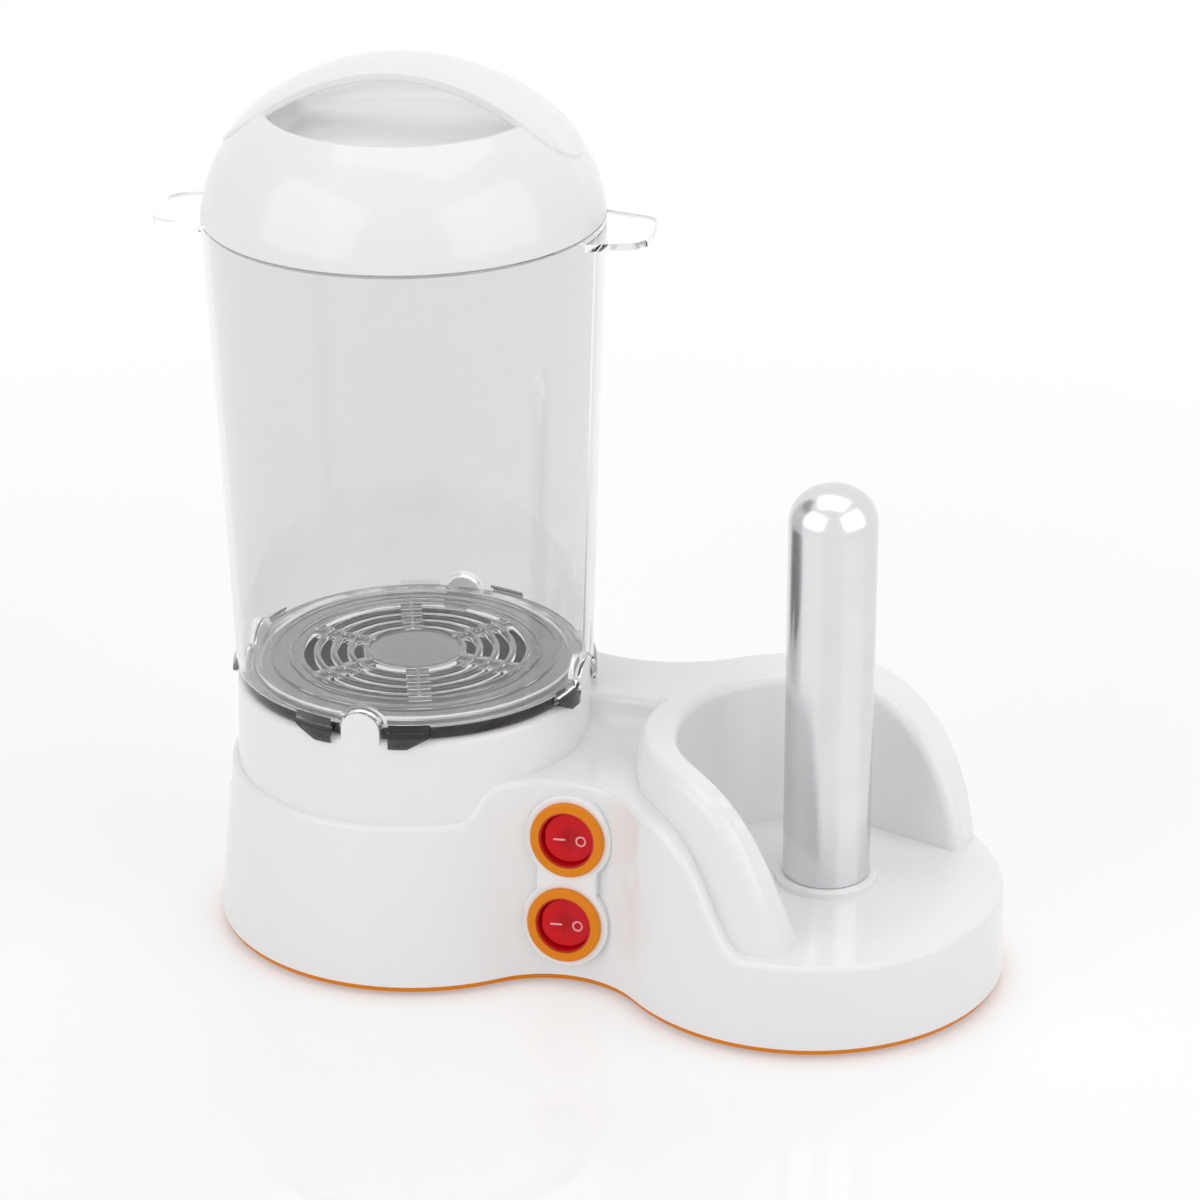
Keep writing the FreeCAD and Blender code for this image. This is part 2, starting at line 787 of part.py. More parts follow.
def chamber():
    foot, top = drum_height, chamber_top
    base = foot + chamber_base_height
    ledge = foot + rack_ledge_low
    outer_low = Vector(chamber_foot_radius, 0, foot)
    outer_base = Vector(chamber_base_radius, 0, base)
    handles = [Vector(chamber_base_radius - inward, 0, foot + up) for inward, up in chamber_bulge]
    bulge = curve([outer_low] + handles + [outer_base])
    walls = Part.makePolygon([
        outer_base, Vector(chamber_top_radius, 0, top),
        Vector(chamber_top_radius - chamber_wall, 0, top),
        Vector(chamber_base_radius - chamber_wall, 0, base),
        Vector(chamber_base_radius - chamber_wall, 0, ledge + rack_ledge_thickness),
        Vector(rack_ledge_inner, 0, ledge + rack_ledge_thickness),
        Vector(rack_ledge_inner, 0, ledge), Vector(chamber_inner_foot, 0, ledge),
        Vector(chamber_inner_foot, 0, foot), outer_low])
    tub = revolve_edges([bulge] + walls.Edges)
    claw_section = [(claw_inner, foot - claw_drop), (claw_outer, foot - claw_drop),
                    (claw_outer, foot + claw_shoulder), (chamber_base_radius, base - claw_root),
                    (chamber_base_radius - claw_root, base - claw_root),
                    (chamber_base_radius - claw_root, foot + 2 * claw_rise),
                    (claw_inner, foot + claw_rise)]
    claw_ring = revolve(claw_section)
    low = foot - claw_drop
    claws = []
    hoods = []
    for bearing in notch_bearings():
        for side in (-1, 1):
            points = [(claw_start, low), (claw_end, low), (claw_ramp_end, foot + claw_rise),
                      (claw_ramp_end, base), (claw_start, base)]
            slab = face_of([Vector(0, side * y, z) for y, z in points]).extrude(Vector(far, 0, 0))
            slab.rotate(Vector(0, 0, 0), Vector(0, 0, 1), bearing)
            claws.append(claw_ring.common(slab))
        half = lug_half_width + notch_gap + hood_wall
        hood = arch(half, drum_height + lug_rise + notch_gap + hood_wall, low,
                    hood_inner, far / 4, bearing)
        hoods.append(hood.common(cylinder(chamber_base_radius - chamber_wall / 2, ledge, far)))
    tub = tub.fuse(claws + hoods)
    for bearing in notch_bearings():
        apex = drum_height + lug_rise + notch_gap
        half = lug_half_width + notch_gap
        tub = tub.cut(arch(half, apex, low - over, lug_inner - notch_gap, far / 4, bearing))
        mouth = Part.makeBox(far / 4, 2 * half, ledge - low, Vector(hood_inner, -half, low))
        mouth.rotate(Vector(0, 0, 0), Vector(0, 0, 1), bearing)
        tub = tub.cut(mouth)
    return tub.fuse(ears())


def ears():
    """Two flat lifting ears under the rim."""
    high = chamber_top - ear_top_drop
    pair = []
    for bearing in (ear_angle, ear_angle + 180):
        root = chamber_top_radius - ear_corner
        points = [Vector(root, -ear_root_half, high), Vector(ear_reach, -ear_tip_half, high),
                  Vector(ear_reach, ear_tip_half, high), Vector(root, ear_root_half, high)]
        ear = face_of(points).extrude(Vector(0, 0, -ear_thickness))
        ear = rounded(ear, ear_corner, lambda p, edge: abs(p.x - ear_reach) < touch
                      and abs(abs(p.y) - ear_tip_half) < touch)
        ear = ear.cut(cylinder(chamber_top_radius - chamber_wall, 0, far))
        ear.rotate(Vector(0, 0, 0), Vector(0, 0, 1), bearing)
        pair.append(ear)
    return pair


def sausage_rack():
    """Slotted disc with raised rings and radial bars, loose on the chamber's ledge."""
    low = drum_height + rack_ledge_low + rack_ledge_thickness
    high = low + rack_thickness
    body = cylinder(rack_radius, low, high)
    radii = [rack_hub + k * rack_pitch for k in range(rack_rings)]
    slots = []
    for radius in radii[:-1]:
        mid = radius + rack_pitch / 2
        slots.append(ring(mid + rack_slot / 2, mid - rack_slot / 2, low, high))
    ribs = []
    for radius in radii + list(rack_outer_rings):
        ribs.append(ring(radius + rack_rib_width / 2, radius - rack_rib_width / 2,
                         high, high + rack_rib))
    bars = radial_bars(rack_bars, rack_hub, radii[-1], rack_bar_width, low, high, rack_angle)
    spokes = radial_bars(rack_bars, rack_hub, radii[-1], rack_rib_width, high, high + rack_rib,
                         rack_angle)
    return body.cut(slots).fuse(bars + ribs + spokes)


def dome_radius(z, inset):
    """Superellipse: the radius falls to zero as the height reaches the top of the dome."""
    base = chamber_top - dome_base_drop
    share = min(max((z - base) / (dome_height - inset), 0.0), 1.0)
    return (lid_radius - inset) * (1 - share ** dome_power) ** (1 / dome_root)


def dome_solid(inset):
    """The whole dome down to the rim, moved inwards by inset."""
    top = chamber_top - dome_base_drop + dome_height - inset
    rise = top - chamber_top
    heights = [chamber_top + rise * sin(pi / 2 * k / dome_steps) for k in range(dome_steps + 1)]
    points = [Vector(dome_radius(z, inset), 0, z) for z in heights]
    points[-1] = Vector(0, 0, top)
    spline = Part.BSplineCurve()
    spline.interpolate(points)
    base = [Part.makeLine(Vector(0, 0, top), Vector(0, 0, chamber_top))]
    base.append(Part.makeLine(Vector(0, 0, chamber_top), points[0]))
    return revolve_edges([spline.toShape()] + base)


def strap_plan():
    """Hourglass prism across the lid, wide at its ends and narrow over the dish."""
    edges = []
    for sx, sy in ((1, 1), (-1, 1), (-1, -1), (1, -1)):
        thin, wide = sy * strap_mid_half, sy * strap_end_half
        hip, tip = Vector(sx * strap_shoulder, wide, 0), Vector(sx * strap_reach, 0, 0)
        edges.append(curve([Vector(0, thin, 0), Vector(sx * strap_shoulder / 2, thin, 0),
                            Vector(sx * strap_spread, wide, 0), hip]))
        edges.append(curve([hip, Vector((hip.x + tip.x) / 2, wide, 0),
                            Vector(tip.x, sy * strap_nose, 0), tip]))
    face = Part.Face(Part.Wire(Part.sortEdges(edges)[0]))
    prism = face.extrude(Vector(0, 0, far))
    prism.rotate(Vector(0, 0, 0), Vector(0, 0, 1), ear_angle)
    return prism


def strap_form():
    dish_edge = dome_radius(chamber_top + dish_rim_height, 0)
    outer = dome_solid(-strap_proud)
    core = dome_solid(strap_thickness - strap_proud)
    arch_part = outer.cut(core).common(cylinder(dish_edge, chamber_top, far))
    seat_part = outer.cut(dome_solid(strap_seat)).cut(cylinder(dish_edge, chamber_top, far))
    return arch_part.fuse(seat_part).common(strap_plan())


def lid_handle():
    strap = strap_form().removeSplitter()
    sides = strap_plan().Shells[0]

    def long_edge(point, edge):
        out = hypot(point.x, point.y)
        outside = abs(out - dome_radius(point.z, -strap_proud)) < near
        inside = abs(out - dome_radius(point.z, strap_thickness - strap_proud)) < near
        upright = edge.BoundBox.XLength + edge.BoundBox.YLength < near
        on_side = sides.distToShape(Part.Vertex(point))[0] < touch
        return on_side and (outside or inside) and not upright
    return rounded(strap, strap_round, long_edge)


def lid():
    top = chamber_top + dish_rim_height
    floor = top - dish_depth
    edge = dome_radius(top, 0)
    outer = dome_solid(0).cut(cylinder(lid_radius, top, far))
    cove = [line((0, top), (0, floor)), line((0, floor), (edge - dish_cove, floor)),
            curve([Vector(edge - dish_cove, 0, floor), Vector(edge - dish_cove / 2, 0, floor),
                   Vector(edge - 2 * lid_wall, 0, top - dish_depth / 2),
                   Vector(edge - lid_wall, 0, top)]),
            line((edge - lid_wall, top), (0, top))]
    dish = revolve_edges(cove)
    body = outer.cut(dish)
    body = rounded(body, lid_rim_round, lambda p, edge: abs(p.z - top) < touch and edge.Closed)
    low_edge = dome_radius(chamber_top, 0)
    body = body.cut(revolve([(low_edge - lid_edge_chamfer, chamber_top), (low_edge + over, chamber_top),
                             (low_edge + over, chamber_top + lid_edge_chamfer + over)]))
    inner = dome_solid(lid_wall).cut(cylinder(lid_radius, floor - lid_wall, far))
    inner = inner.fuse(cylinder(lid_radius - lid_wall, chamber_top - over, chamber_top + near))
    body = body.cut(inner)
    plug_out = chamber_top_radius - chamber_wall - slide_gap
    joined = lid_radius - lid_wall / 2
    plug = [(plug_out - plug_lean, chamber_top - plug_depth), (plug_out, chamber_top),
            (joined, chamber_top), (joined, chamber_top + lid_edge),
            (plug_out - plug_wall, chamber_top + lid_edge),
            (plug_out - plug_wall - plug_lean, chamber_top - plug_depth)]
    body = body.fuse(revolve(plug))
    return body.cut(strap_form())


def spike_tube():
    """Drawn tube with a closed tip, a narrower neck through the deck and a flange under it."""
    low, top = deck_under - spike_flange_thickness, deck_height + spike_height
    shoulder = top - spike_tip
    seat = deck_height + collar_height + seam_gap
    bore = spike_radius - spike_wall
    tip = curve([Vector(spike_radius, 0, shoulder), Vector(spike_radius, 0, top - spike_tip / 3),
                 Vector(spike_radius / 2, 0, top), Vector(0, 0, top)])
    inside = curve([Vector(0, 0, top - spike_wall), Vector(bore / 2, 0, top - spike_wall),
                    Vector(bore, 0, top - spike_tip / 3), Vector(bore, 0, shoulder)])
    walls = [line((bore, shoulder), (bore, low)), line((bore, low), (spike_flange_radius, low)),
             line((spike_flange_radius, low), (spike_flange_radius, deck_under)),
             line((spike_flange_radius, deck_under), (spike_neck_radius, deck_under)),
             line((spike_neck_radius, deck_under), (spike_neck_radius, seat)),
             line((spike_neck_radius, seat), (spike_radius, seat)),
             line((spike_radius, seat), (spike_radius, shoulder))]
    top_line = line((0, top), (0, top - spike_wall))
    body = revolve_edges(walls + [tip, top_line, inside])
    body.translate(spike_axis)
    return body


def spike_collar():
    low, high = deck_height, deck_height + collar_height
    body = ring(collar_radius, spike_neck_radius + press_gap, low, high, spike_axis)
    return rounded(body, collar_round, lambda p, edge: abs(p.z - high) < touch
                   and hypot(p.x - spike_axis.x, p.y) > spike_radius + over)


def spike_clamp():
    top = deck_under - spike_flange_thickness
    body = ring(spike_clamp_radius, spike_radius - spike_wall, top - spike_clamp_thickness, top,
                spike_axis)
    low = top - spike_clamp_thickness
    return body.cut([cylinder(spike_screw_radius + press_gap, low, top, spot)
                     for spot in spike_screw_spots])


def spike_clamp_screws():
    low = deck_under - spike_flange_thickness - spike_clamp_thickness - screw_head_depth
    length = spike_clamp_thickness + spike_flange_thickness + wall / 2
    return Part.makeCompound([screw(spike_screw_radius, screw_head_radius, screw_head_depth, low,
                                    length, spot) for spot in spike_screw_spots])


def spike_heater():
    """Sleeve heater inside the spike, seated on the clamp's level by its lower lip."""
    low = deck_height + heater_low
    high = deck_height + spike_height - spike_tip - heater_tip_gap
    outer = spike_radius - spike_wall - press_gap
    return ring(outer, outer - heater_wall, low, high, spike_axis)


def spike_thermostat():
    low = deck_height + heater_low
    outer = spike_radius - spike_wall - press_gap - heater_wall
    disc = cylinder(outer, low, low + thermostat_height, spike_axis)
    tabs = [block(spike_axis.x + side * thermostat_radius / 2, 0, low - blade_length,
                  (blade_thickness, blade_width, blade_length)) for side in (-1, 1)]
    return disc.fuse(tabs)


def switch_bezel(name):
    body = Part.makeCylinder(bezel_radius, bezel_thickness)
    body = body.cut(Part.makeCylinder(bezel_hole, bezel_thickness))
    body = rounded(body, bezel_round, lambda p, edge: abs(p.z - bezel_thickness) < touch
                   and hypot(p.x, p.y) > bezel_hole + over)
    return on_panel(body, name)


def switch_body(name):
    """Round snap-in switch case with an open cup, a lamp pocket and pivot holes."""
    body = Part.makeCylinder(switch_radius, switch_depth, Vector(0, 0, -switch_depth))
    body = body.fuse(Part.makeCylinder(bezel_hole - press_gap, switch_neck))
    body = body.cut(Part.makeCylinder(cup_radius, cup_depth + switch_neck,
                                      Vector(0, 0, -cup_depth)))
    pocket = 2 * lamp_radius + slide_gap
    body = body.cut(Part.makeBox(pocket, lamp_length + slide_gap, pocket,
                                 Vector(-pocket / 2, -(lamp_length + slide_gap) / 2,
                                        -cup_depth - pocket)))
    pin_reach = rocker_radius + pin_length + press_gap
    body = body.cut(Part.makeCylinder(pin_radius + running_gap, 2 * pin_reach,
                                      Vector(0, -pin_reach, -rocker_pivot_depth), Vector(0, 1, 0)))
    return on_panel(body, name)


def rocker(name):
    """Two-facet rocker, modelled level and then tipped to its off position."""
    pivot = -rocker_pivot_depth
    tip = rocker_radius * slope(rocker_facet) - rocker_dip
    section = [Vector(0, 0, -rocker_dip), Vector(-rocker_radius, 0, tip),
               Vector(-rocker_radius, 0, -rocker_floor), Vector(rocker_radius, 0, -rocker_floor),
               Vector(rocker_radius, 0, tip)]
    prism = face_of(section).extrude(Vector(0, 2 * rocker_radius, 0))
    prism.translate(Vector(0, -rocker_radius, 0))
    drum = Part.makeCylinder(rocker_radius, 2 * rocker_radius, Vector(0, -rocker_radius, pivot),
                             Vector(0, 1, 0))
    disc = Part.makeCylinder(rocker_radius, 4 * rocker_radius, Vector(0, 0, -2 * rocker_radius))

    def on_top(point):
        facet = abs(point.x) * slope(rocker_facet) - rocker_dip
        return abs(point.z - facet) < touch and hypot(point.x, point.y) > rocker_radius - near

    body = prism.common(drum).common(disc)
    body = rounded(body, rocker_round, lambda point, edge: on_top(point))
    reach = rocker_radius + pin_length
    pin = Part.makeCylinder(pin_radius, 2 * reach, Vector(0, -reach, pivot), Vector(0, 1, 0))
    body = body.fuse(pin)
    body.rotate(Vector(0, 0, pivot), Vector(0, 1, 0), rocker_tilt)
    return on_panel(body, name)


def switch_terminals(name):
    blades = []
    for k in (-1, 0, 1):
        blades.append(Part.makeBox(blade_width, blade_thickness, blade_length,
                                   Vector(-blade_width / 2, k * blade_pitch - blade_thickness / 2,
                                          -switch_depth - blade_length)))
    return on_panel(Part.makeCompound(blades), name)


def switch_lamp(name):
    z = -cup_depth - lamp_radius - slide_gap / 2
    lamp = Part.makeCylinder(lamp_radius, lamp_length, Vector(0, -lamp_length / 2, z),
                             Vector(0, 1, 0))
    return on_panel(lamp, name)


def cord_bushing():
    body = Part.makeCylinder(bushing_flange_radius, bushing_flange)
    low = -wall - inlet_pad_proud - bushing_tail
    body = body.fuse(Part.makeCylinder(bushing_radius, -low, Vector(0, 0, low)))
    body = body.cut(Part.makeCylinder(bushing_bore, bushing_flange - low, Vector(0, 0, low)))
    return on_inlet(body)


def cord_clamp():
    top = housing_bottom + cord_post_height
    body = block(inlet_x, cord_clamp_y, top, cord_clamp_size)
    return body.cut([cylinder(screw_radius + press_gap, top, top + cord_clamp_size[2], spot)
                     for spot in post_spots])


def cord_clamp_screws():
    top = housing_bottom + cord_post_height + cord_clamp_size[2]
    low = housing_bottom + over
    screws = []
    for spot in post_spots:
        shank = cylinder(screw_radius, low, top, spot)
        screws.append(shank.fuse(cylinder(screw_head_radius, top, top + screw_head_depth, spot)))
    return Part.makeCompound(screws)


def terminal_spots():
    return [Vector(inlet_x + k * terminal_screw_pitch, terminal_y, 0) for k in (-1, 0, 1)]


def terminal_block():
    body = block(inlet_x, terminal_y, housing_bottom, terminal_size)
    top = housing_bottom + terminal_size[2]
    wells = []
    for spot in terminal_spots():
        wells.append(cylinder(terminal_screw_radius + slide_gap, top - wall, top, spot))
        wells.append(cylinder(terminal_screw_radius, top - 3 * wall, top, spot))
    return body.cut(wells)


def terminal_screws():
    top = housing_bottom + terminal_size[2]
    return Part.makeCompound([cylinder(terminal_screw_radius, top - 3 * wall, top - wall / 2, spot)
                              for spot in terminal_spots()])


pieces = {
    "main_housing": main_housing(),
    "base_plate": base_plate(),
    "feet": feet(),
    "base_screws": base_screws(),
    "heating_plate": heating_plate(),
    "plate_gasket": plate_gasket(),
    "plate_clamp": plate_clamp(),
    "plate_nuts": plate_nuts(),
    "heater_element": heater_element(),
    "plate_thermostat": plate_thermostat(),
    "thermal_fuse": thermal_fuse(),
    "chamber": chamber(),
    "sausage_rack": sausage_rack(),
    "lid": lid(),
    "lid_handle": lid_handle(),
    "spike_tube": spike_tube(),
    "spike_collar": spike_collar(),
    "spike_clamp": spike_clamp(),
    "spike_clamp_screws": spike_clamp_screws(),
    "spike_heater": spike_heater(),
    "spike_thermostat": spike_thermostat(),
    "cord_bushing": cord_bushing(),
    "cord_clamp": cord_clamp(),
    "cord_clamp_screws": cord_clamp_screws(),
    "terminal_block": terminal_block(),
    "terminal_screws": terminal_screws(),
}
for name in switches:
    pieces[name + "_switch_bezel"] = switch_bezel(name)
    pieces[name + "_switch_body"] = switch_body(name)
    pieces[name + "_switch_terminals"] = switch_terminals(name)
    pieces[name + "_switch_lamp"] = switch_lamp(name)
    pieces[name + "_rocker"] = rocker(name)

# The origin moves under the middle of the whole object, ears included.
left = min(ear.optimalBoundingBox().XMin for ear in ears())
middle_x = (left + end_pitch + deck_radius) / 2
os.makedirs("parts", exist_ok=True)
for name, shape in pieces.items():
    shape.translate(Vector(-middle_x, 0, 0))
    shape.exportStep("parts/" + name + ".step")
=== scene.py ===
import bpy
import json
import numpy as np
from mathutils import Matrix, Vector


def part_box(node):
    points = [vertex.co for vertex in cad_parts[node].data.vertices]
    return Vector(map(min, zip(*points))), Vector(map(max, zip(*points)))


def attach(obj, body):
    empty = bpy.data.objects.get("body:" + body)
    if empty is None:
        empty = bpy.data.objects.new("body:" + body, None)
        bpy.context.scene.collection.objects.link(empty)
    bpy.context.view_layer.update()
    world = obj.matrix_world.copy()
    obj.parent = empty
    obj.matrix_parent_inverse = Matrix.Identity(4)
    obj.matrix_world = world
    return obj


# Hot dog maker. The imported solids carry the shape, and this script gives each its finish. It
# adds the marks on the rockers, films of ink that are too thin for a solid, and the studio.
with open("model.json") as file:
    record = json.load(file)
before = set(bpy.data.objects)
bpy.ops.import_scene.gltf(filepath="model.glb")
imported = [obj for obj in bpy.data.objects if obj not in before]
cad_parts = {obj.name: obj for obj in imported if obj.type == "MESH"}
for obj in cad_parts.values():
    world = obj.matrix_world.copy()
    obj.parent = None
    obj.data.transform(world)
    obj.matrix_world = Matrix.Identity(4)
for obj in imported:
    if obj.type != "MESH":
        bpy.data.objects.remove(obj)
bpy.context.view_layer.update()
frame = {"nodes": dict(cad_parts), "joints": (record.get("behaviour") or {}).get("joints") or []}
solids = frame["nodes"]
joints = {joint["name"]: joint for joint in frame["joints"]}


# Housing
# One white ABS moulding carries the drum, ledge, scoop, ridge, bay and deck. It comes from
# a polished mould, so it is glossy with a trace of waviness, and it has no paint.
def linear(code):
    """Linear RGBA of an sRGB hex colour: c/12.92 below 0.04045, else ((c+0.055)/1.055)^2.4."""
    values = np.array([int(code[i:i + 2], 16) for i in (1, 3, 5)]) / 255
    low = values / 12.92
    high = ((values + 0.055) / 1.055) ** 2.4
    return (*np.where(values <= 0.04045, low, high).tolist(), 1.0)


def add(tree, kind, links=None, **settings):
    """Adds a node. A setting is a socket's value if a socket has that name, else a property.
    A socket's name is written with _ for each space, and links names the sockets fed."""
    node = tree.nodes.new(kind)
    sockets = {socket.name.replace(" ", "_"): socket for socket in reversed(node.inputs)}
    for name, value in settings.items():
        if name in sockets:
            sockets[name].default_value = value
        else:
            setattr(node, name, value)
    for name, (source, output) in (links or {}).items():
        target = node.inputs[name] if isinstance(name, int) else sockets[name]
        tree.links.new(source.outputs[output], target)
    return node


def nonmetal(name, dark, light, roughness, patch_mm, grain_mm, depth_mm, **sockets):
    """Surface that isn't metal. Its colour drifts by noise between two near shades, and its
    roughness by 15 percent with it, in patches of patch_mm. A noise of grain_mm, depth_mm
    high, is its bump. A pattern's scale is 1000 / its size in mm."""
    material = bpy.data.materials.new(name)
    material.use_nodes = True
    tree = material.node_tree
    shader = tree.nodes["Principled BSDF"]
    place = add(tree, "ShaderNodeTexCoord")
    drift = add(tree, "ShaderNodeTexNoise", {"Vector": (place, "Object")},
                Scale=1000 / patch_mm, Detail=3.0, Roughness=0.5)
    shades = add(tree, "ShaderNodeMix", {"Factor": (drift, "Fac")}, data_type="RGBA")
    shades.inputs[6].default_value = linear(dark)
    shades.inputs[7].default_value = linear(light)
    tree.links.new(shades.outputs[2], shader.inputs["Base Color"])
    gloss = add(tree, "ShaderNodeMapRange", {"Value": (drift, "Fac")},
                To_Min=roughness * 0.85, To_Max=roughness * 1.15)
    tree.links.new(gloss.outputs[0], shader.inputs["Roughness"])
    grain = add(tree, "ShaderNodeTexNoise", {"Vector": (place, "Object")},
                Scale=1000 / grain_mm, Detail=2.0, Roughness=0.5)
    bump = add(tree, "ShaderNodeBump", {"Height": (grain, "Fac")},
               Strength=1.0, Distance=depth_mm / 1000)
    tree.links.new(bump.outputs[0], shader.inputs["Normal"])
    for socket, value in sockets.items():
        shader.inputs[socket.replace("_", " ")].default_value = value
    return material


def finish_solid(names, material):
    """Puts one material on every slot of the named solids."""
    for name in names:
        slots = solids[name].material_slots
        for slot in slots:
            slot.material = material
        if not slots:
            solids[name].data.materials.append(material)


# White ABS, injection moulded in a polished tool: near neutral white with a clear gloss.
white_abs = nonmetal("white_abs_moulded", "#F2F2F2", "#F4F4F4", roughness=0.12, patch_mm=60,
                     grain_mm=22, depth_mm=0.008, IOR=1.52)
finish_solid(["main_housing"], white_abs)


# Water plate
# A cast aluminium dish boils the water. A silicone gasket seals it on the drum's seat, and
# a steel ring with three nuts pulls it down. The sheathed element is brazed underneath.
def metal(name, dark, light, roughness, grain_mm, depth_mm, patch_mm=16.7, stretch=1.0):
    """Bare metal. Its colour drifts by noise between two near shades, and its roughness by 20
    percent with it, in patches of patch_mm. A noise of grain_mm, depth_mm high, is its bump,
    drawn out along Z stretch times, as on a drawn tube."""
    material = bpy.data.materials.new(name)
    material.use_nodes = True
    tree = material.node_tree
    shader = tree.nodes["Principled BSDF"]
    shader.inputs["Metallic"].default_value = 1.0
    place = add(tree, "ShaderNodeTexCoord")
    drift = add(tree, "ShaderNodeTexNoise", {"Vector": (place, "Object")},
                Scale=1000 / patch_mm, Detail=4.0)
    shades = add(tree, "ShaderNodeMix", {"Factor": (drift, "Fac")}, data_type="RGBA")
    shades.inputs[6].default_value = linear(dark)
    shades.inputs[7].default_value = linear(light)
    tree.links.new(shades.outputs[2], shader.inputs["Base Color"])
    gloss = add(tree, "ShaderNodeMapRange", {"Value": (drift, "Fac")},
                To_Min=roughness * 0.8, To_Max=roughness * 1.2)
    tree.links.new(gloss.outputs[0], shader.inputs["Roughness"])
    drawn = add(tree, "ShaderNodeMapping", {"Vector": (place, "Object")},
                Scale=(1.0, 1.0, 1.0 / stretch))
    grain = add(tree, "ShaderNodeTexNoise", {"Vector": (drawn, "Vector")},
                Scale=1000 / grain_mm, Detail=3.0)
    bump = add(tree, "ShaderNodeBump", {"Height": (grain, "Fac")},
               Strength=1.0, Distance=depth_mm / 1000)
    tree.links.new(bump.outputs[0], shader.inputs["Normal"])
    return material


# Cast aluminium with a dark grey non-stick coat: satin, with the casting's grain under it.
nonstick_coat = nonmetal("grey_nonstick_coat", "#161718", "#1E1F20", roughness=0.35, patch_mm=14,
                         grain_mm=1.2, depth_mm=0.02, Specular_IOR_Level=0.2)
finish_solid(["heating_plate"], nonstick_coat)
# Silicone, moulded: soft grey with almost no gloss.
grey_silicone = nonmetal("grey_silicone_moulded", "#8C8C8A", "#969694", roughness=0.55,
                         patch_mm=6, grain_mm=0.5, depth_mm=0.01)
finish_solid(["plate_gasket"], grey_silicone)
# Zinc plated steel: pale bluish metal with a fine satin.
zinc_steel = metal("zinc_plated_steel", "#B9BCC0", "#C8CACD", roughness=0.3, grain_mm=0.8,
                   depth_mm=0.004)
finish_solid(["plate_clamp", "plate_nuts"], zinc_steel)
# Steel, drawn as a tube and darkened by heat: brownish grey with a dull sheen.
sheath_steel = metal("heater_sheath_steel", "#6B6560", "#857E76", roughness=0.4, grain_mm=0.7,
                     depth_mm=0.01)
finish_solid(["heater_element", "thermal_fuse"], sheath_steel)
# Phenolic, pressed: black and matte with a faint grain.
black_phenolic = nonmetal("black_phenolic", "#191919", "#222222", roughness=0.5, patch_mm=9,
                          grain_mm=0.8, depth_mm=0.01)
finish_solid(["plate_thermostat"], black_phenolic)


# Switches
# Each is a round rocker switch that snaps into the raised pad: a body behind the panel, an
# orange bezel, and a clear red rocker with a neon lamp under it.
# Orange ABS, injection moulded and polished: even colour with a soft sheen.
orange_abs = nonmetal("orange_abs_moulded", "#E38200", "#E88702", roughness=0.28, patch_mm=40,
                      grain_mm=1.2, depth_mm=0.004, Specular_IOR_Level=0.25)
finish_solid(["upper_switch_bezel", "lower_switch_bezel"], orange_abs)
# Dark red polycarbonate, moulded: it lines the cup round the rocker. Its weak emission is a
# painted glow, standing in for the lamp's light, that lightens the shade in the gap so it doesn't show
# as a black pit.
cup_red = nonmetal("dark_red_polycarbonate", "#A80E18", "#B8121C", roughness=0.3, patch_mm=10,
                   grain_mm=1.0, depth_mm=0.004,
                   Emission_Color=linear("#C80A14"), Emission_Strength=0.1)
finish_solid(["upper_switch_body", "lower_switch_body"], cup_red)
# Brass, stamped into blades: warm yellow metal with a satin sheen.
brass_blade = metal("stamped_brass", "#C9A860", "#D8BA74", roughness=0.3, grain_mm=0.8,
                    depth_mm=0.004)
finish_solid(["upper_switch_terminals", "lower_switch_terminals"], brass_blade)
# Glass, blown clear: its faint orange is the lamp's glow, painted into the glass colour.
lamp_glass = nonmetal("neon_lamp_glass", "#FFC8A0", "#FFD2B0", roughness=0.05, patch_mm=4,
                      grain_mm=1.0, depth_mm=0.0, Transmission_Weight=0.8)
finish_solid(["upper_switch_lamp", "lower_switch_lamp"], lamp_glass)
# Red polycarbonate, clear moulded and glossy. A weak emission is a painted glow for the lamp
# under it, and a painted shade darkens the red round the rocker's pivot, so the red is brightest
# in a band round that dark spot. The painted shade is full within the core radius of the pivot
# and gone beyond the edge radius, both in metres.
painted_shade_core = 0.0015
painted_shade_edge = 0.007
painted_shade_strength = 0.62
pivots = {name: np.array(joints[name + "_rocker_turn"]["pos_m"]) for name in ("upper", "lower")}
for name, pivot in pivots.items():
    red = nonmetal(name + "_red_polycarbonate", "#C60A16", "#CE0E1A", roughness=0.18, patch_mm=7,
                   grain_mm=2.0, depth_mm=0.004, Specular_IOR_Level=0.2,
                   Emission_Color=linear("#D80A14"), Emission_Strength=0.12)
    tree = red.node_tree
    shader = tree.nodes["Principled BSDF"]
    plain = shader.inputs["Base Color"].links[0].from_socket
    place = add(tree, "ShaderNodeTexCoord")
    away = add(tree, "ShaderNodeVectorMath", {0: (place, "Object")}, operation="DISTANCE")
    away.inputs[1].default_value = pivot.tolist()
    # Painted shade: the base colour is mixed towards dark red near the pivot.
    painted_shade_spot = add(tree, "ShaderNodeMapRange", {"Value": (away, "Value")}, interpolation_type="SMOOTHSTEP",
               From_Min=painted_shade_core, From_Max=painted_shade_edge, To_Min=painted_shade_strength, To_Max=0.0)
    shade = add(tree, "ShaderNodeMix", {"Factor": (painted_shade_spot, 0)}, data_type="RGBA")
    shade.inputs[7].default_value = linear("#7E0C14")
    tree.links.new(plain, shade.inputs[6])
    tree.links.new(shade.outputs[2], shader.inputs["Base Color"])
    finish_solid([name + "_rocker"], red)


